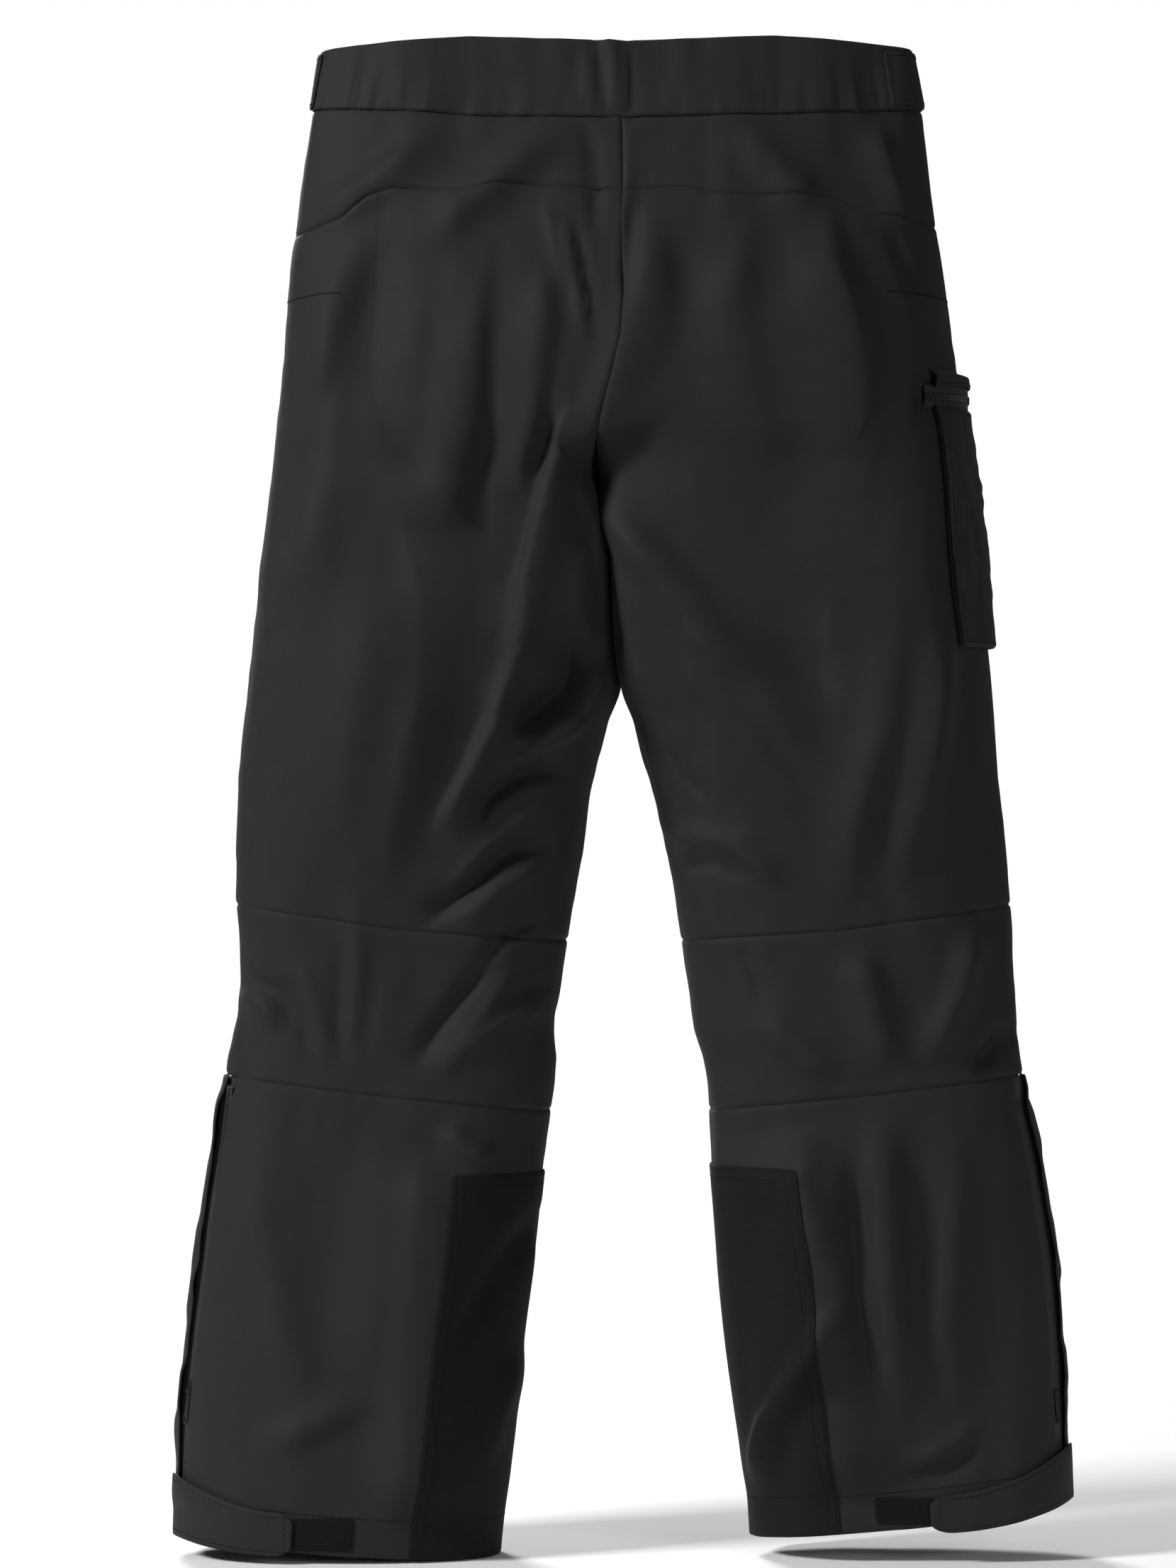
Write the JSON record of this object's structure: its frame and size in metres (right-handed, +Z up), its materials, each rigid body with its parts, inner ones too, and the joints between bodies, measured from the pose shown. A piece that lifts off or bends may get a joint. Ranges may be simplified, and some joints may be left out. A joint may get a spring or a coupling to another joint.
{
  "type": "ski pants",
  "caption": "Insulated ski pants with elastic back waist, zipped fly and pockets, side leg zips, snow gaiters, scuff guards and hook-and-loop hem tabs.",
  "frame": {"origin": "on the floor, under the middle of the garment's box", "axes": "+Z up along the legs, -Y to the wearer's front, +X to the wearer's left"},
  "size_m": [0.6364, 0.1839, 1.0667],
  "materials": {
    "shell": "fine plain weave nylon with a water repellent face, semi-matte",
    "guard": "coarse ripstop abrasion cloth, matte",
    "hook_loop": "napped loop tape, matte",
    "webbing": "narrow woven tape, matte",
    "lining": "smooth taffeta lining, slight sheen",
    "zip_coil": "moulded nylon coil on woven tape",
    "zip_metal": "black painted zinc, satin",
    "snap": "black painted brass, satin"
  },
  "bodies": {
    "pelvis": {"waistband_back": "shell", "waistband_front": "shell", "waistband_lining": "lining", "waist_elastic": "lining", "belt_loops": "webbing", "hang_loop": "webbing", "back_yoke": "shell", "seat_panels": "shell", "front_hip_panels": "shell", "fly_zip": "zip_coil", "fly_shield": "lining", "closure_studs": "snap", "hand_pocket_zips": "zip_coil", "hand_pocket_bags": "lining"},
    "closure_tab": {"closure_tab": "shell", "closure_snaps": "snap"},
    "fly_flap": {"fly_flap": "shell"},
    "fly_slider": {"fly_slider": "zip_metal"},
    "fly_pull": {"fly_pull": "zip_metal"},
    "hand_slider_left": {"hand_slider_left": "zip_metal"},
    "hand_pull_left": {"hand_pull_left": "zip_metal"},
    "waist_tab_left": {"waist_tab_left": "shell"},
    "thigh_left": {"thigh_back_left": "shell", "thigh_front_left": "shell", "knee_back_left": "shell", "knee_front_left": "shell"},
    "shank_left": {"calf_back_left": "shell", "shin_front_left": "shell", "scuff_guard_left": "guard", "hem_loop_patch_left": "hook_loop", "side_zip_left": "zip_coil", "side_zip_flap_left": "shell", "gaiter_left": "lining"},
    "hem_tab_left": {"hem_tab_left": "shell"},
    "side_slider_left": {"side_slider_left": "zip_metal"},
    "side_pull_left": {"side_pull_left": "zip_metal"},
    "hand_slider_right": {"hand_slider_right": "zip_metal"},
    "hand_pull_right": {"hand_pull_right": "zip_metal"},
    "waist_tab_right": {"waist_tab_right": "shell"},
    "thigh_right": {"thigh_back_right": "shell", "thigh_front_right": "shell", "knee_back_right": "shell", "knee_front_right": "shell", "thigh_pocket_panel": "shell", "thigh_pocket_gusset": "shell", "thigh_pocket_zip": "zip_coil", "thigh_pocket_flap": "shell"},
    "shank_right": {"calf_back_right": "shell", "shin_front_right": "shell", "scuff_guard_right": "guard", "hem_loop_patch_right": "hook_loop", "side_zip_right": "zip_coil", "side_zip_flap_right": "shell", "gaiter_right": "lining"},
    "hem_tab_right": {"hem_tab_right": "shell"},
    "side_slider_right": {"side_slider_right": "zip_metal"},
    "side_pull_right": {"side_pull_right": "zip_metal"},
    "thigh_slider": {"thigh_slider": "zip_metal"},
    "thigh_pull": {"thigh_pull": "zip_metal"}
  },
  "joints": [
    {"name": "hip_left", "type": "hinge", "parent": "pelvis", "child": "thigh_left", "pos_m": [0.12, -0.07683, 0.83], "axis": [-1, 0, 0], "range_deg": [0, 90], "stiffness_Nm_per_rad": 0.5, "springref_deg": -34.38},
    {"name": "hip_right", "type": "hinge", "parent": "pelvis", "child": "thigh_right", "pos_m": [-0.12, -0.07683, 0.83], "axis": [-1, 0, 0], "range_deg": [0, 90], "stiffness_Nm_per_rad": 0.5, "springref_deg": -34.38},
    {"name": "knee_left", "type": "hinge", "parent": "thigh_left", "child": "shank_left", "pos_m": [0.16, 0.038, 0.385], "axis": [1, 0, 0], "range_deg": [0, 100], "deforming": ["knee_back_left", "knee_front_left"]},
    {"name": "knee_right", "type": "hinge", "parent": "thigh_right", "child": "shank_right", "pos_m": [-0.16, 0.038, 0.385], "axis": [1, 0, 0], "range_deg": [0, 100], "deforming": ["knee_back_right", "knee_front_right"]},
    {"name": "closure_peel", "type": "hinge", "parent": "pelvis", "child": "closure_tab", "pos_m": [0.058, -0.04964, 1.03358], "axis": [0, 0.1165, 0.9932], "range_deg": [0, 150]},
    {"name": "fly_flap_open", "type": "hinge", "parent": "pelvis", "child": "fly_flap", "pos_m": [0.026, -0.06453, 0.9245], "axis": [0, 0.1603, 0.9871], "range_deg": [0, 140]},
    {"name": "fly_slide", "type": "slide", "parent": "pelvis", "child": "fly_slider", "axis": [0, -0.1625, -0.9867], "range_m": [0, 0.132]},
    {"name": "fly_pull_lift", "type": "hinge", "parent": "fly_slider", "child": "fly_pull", "pos_m": [0, -0.05705, 0.99579], "axis": [-1, 0, 0], "range_deg": [0, 6]},
    {"name": "hand_slide_left", "type": "slide", "parent": "pelvis", "child": "hand_slider_left", "axis": [0.4997, 0, -0.8662], "range_m": [0, 0.132]},
    {"name": "hand_pull_lift_left", "type": "hinge", "parent": "hand_slider_left", "child": "hand_pull_left", "pos_m": [0.12477, -0.05704, 0.98967], "axis": [-0.8139, -0.342, -0.4696], "range_deg": [0, 150]},
    {"name": "hand_slide_right", "type": "slide", "parent": "pelvis", "child": "hand_slider_right", "axis": [-0.4997, 0, -0.8662], "range_m": [0, 0.132]},
    {"name": "hand_pull_lift_right", "type": "hinge", "parent": "hand_slider_right", "child": "hand_pull_right", "pos_m": [-0.12477, -0.05704, 0.98967], "axis": [-0.8139, 0.342, 0.4696], "range_deg": [0, 150]},
    {"name": "waist_tab_peel_left", "type": "hinge", "parent": "pelvis", "child": "waist_tab_left", "pos_m": [0.18392, -0.02713, 1.038], "axis": [0.1449, -0.0655, -0.9873], "range_deg": [0, 70]},
    {"name": "waist_tab_peel_right", "type": "hinge", "parent": "pelvis", "child": "waist_tab_right", "pos_m": [-0.18392, -0.02713, 1.038], "axis": [0.1449, 0.0655, 0.9873], "range_deg": [0, 70]},
    {"name": "thigh_slide", "type": "hinge", "parent": "thigh_right", "child": "thigh_slider", "pos_m": [-0.176, 0.004, 0.811], "axis": [0, 0, -1], "range_deg": [0, 94]},
    {"name": "thigh_pull_lift", "type": "hinge", "parent": "thigh_slider", "child": "thigh_pull", "pos_m": [-0.23057, -0.04343, 0.811], "axis": [0, 0, -1], "range_deg": [0, 150]},
    {"name": "side_slide_left", "type": "slide", "parent": "shank_left", "child": "side_slider_left", "axis": [-0.1132, 0, 0.9936], "range_m": [0, 0.205]},
    {"name": "side_pull_lift_left", "type": "hinge", "parent": "side_slider_left", "child": "side_pull_left", "pos_m": [0.30382, 0.02332, 0.11593], "axis": [0.4199, -0.9063, 0.0478], "range_deg": [0, 150]},
    {"name": "side_slide_right", "type": "slide", "parent": "shank_right", "child": "side_slider_right", "axis": [0.1132, 0, 0.9936], "range_m": [0, 0.205]},
    {"name": "side_pull_lift_right", "type": "hinge", "parent": "side_slider_right", "child": "side_pull_right", "pos_m": [-0.30382, 0.02332, 0.11593], "axis": [0.4199, 0.9063, -0.0478], "range_deg": [0, 150]},
    {"name": "hem_tab_peel_left", "type": "hinge", "parent": "shank_left", "child": "hem_tab_left", "pos_m": [0.31551, 0.00974, 0.04109], "axis": [0.0542, 0, -0.9985], "range_deg": [0, 120]},
    {"name": "hem_tab_peel_right", "type": "hinge", "parent": "shank_right", "child": "hem_tab_right", "pos_m": [-0.31551, 0.00974, 0.04109], "axis": [0.0542, 0, 0.9985], "range_deg": [0, 120]}
  ]
}
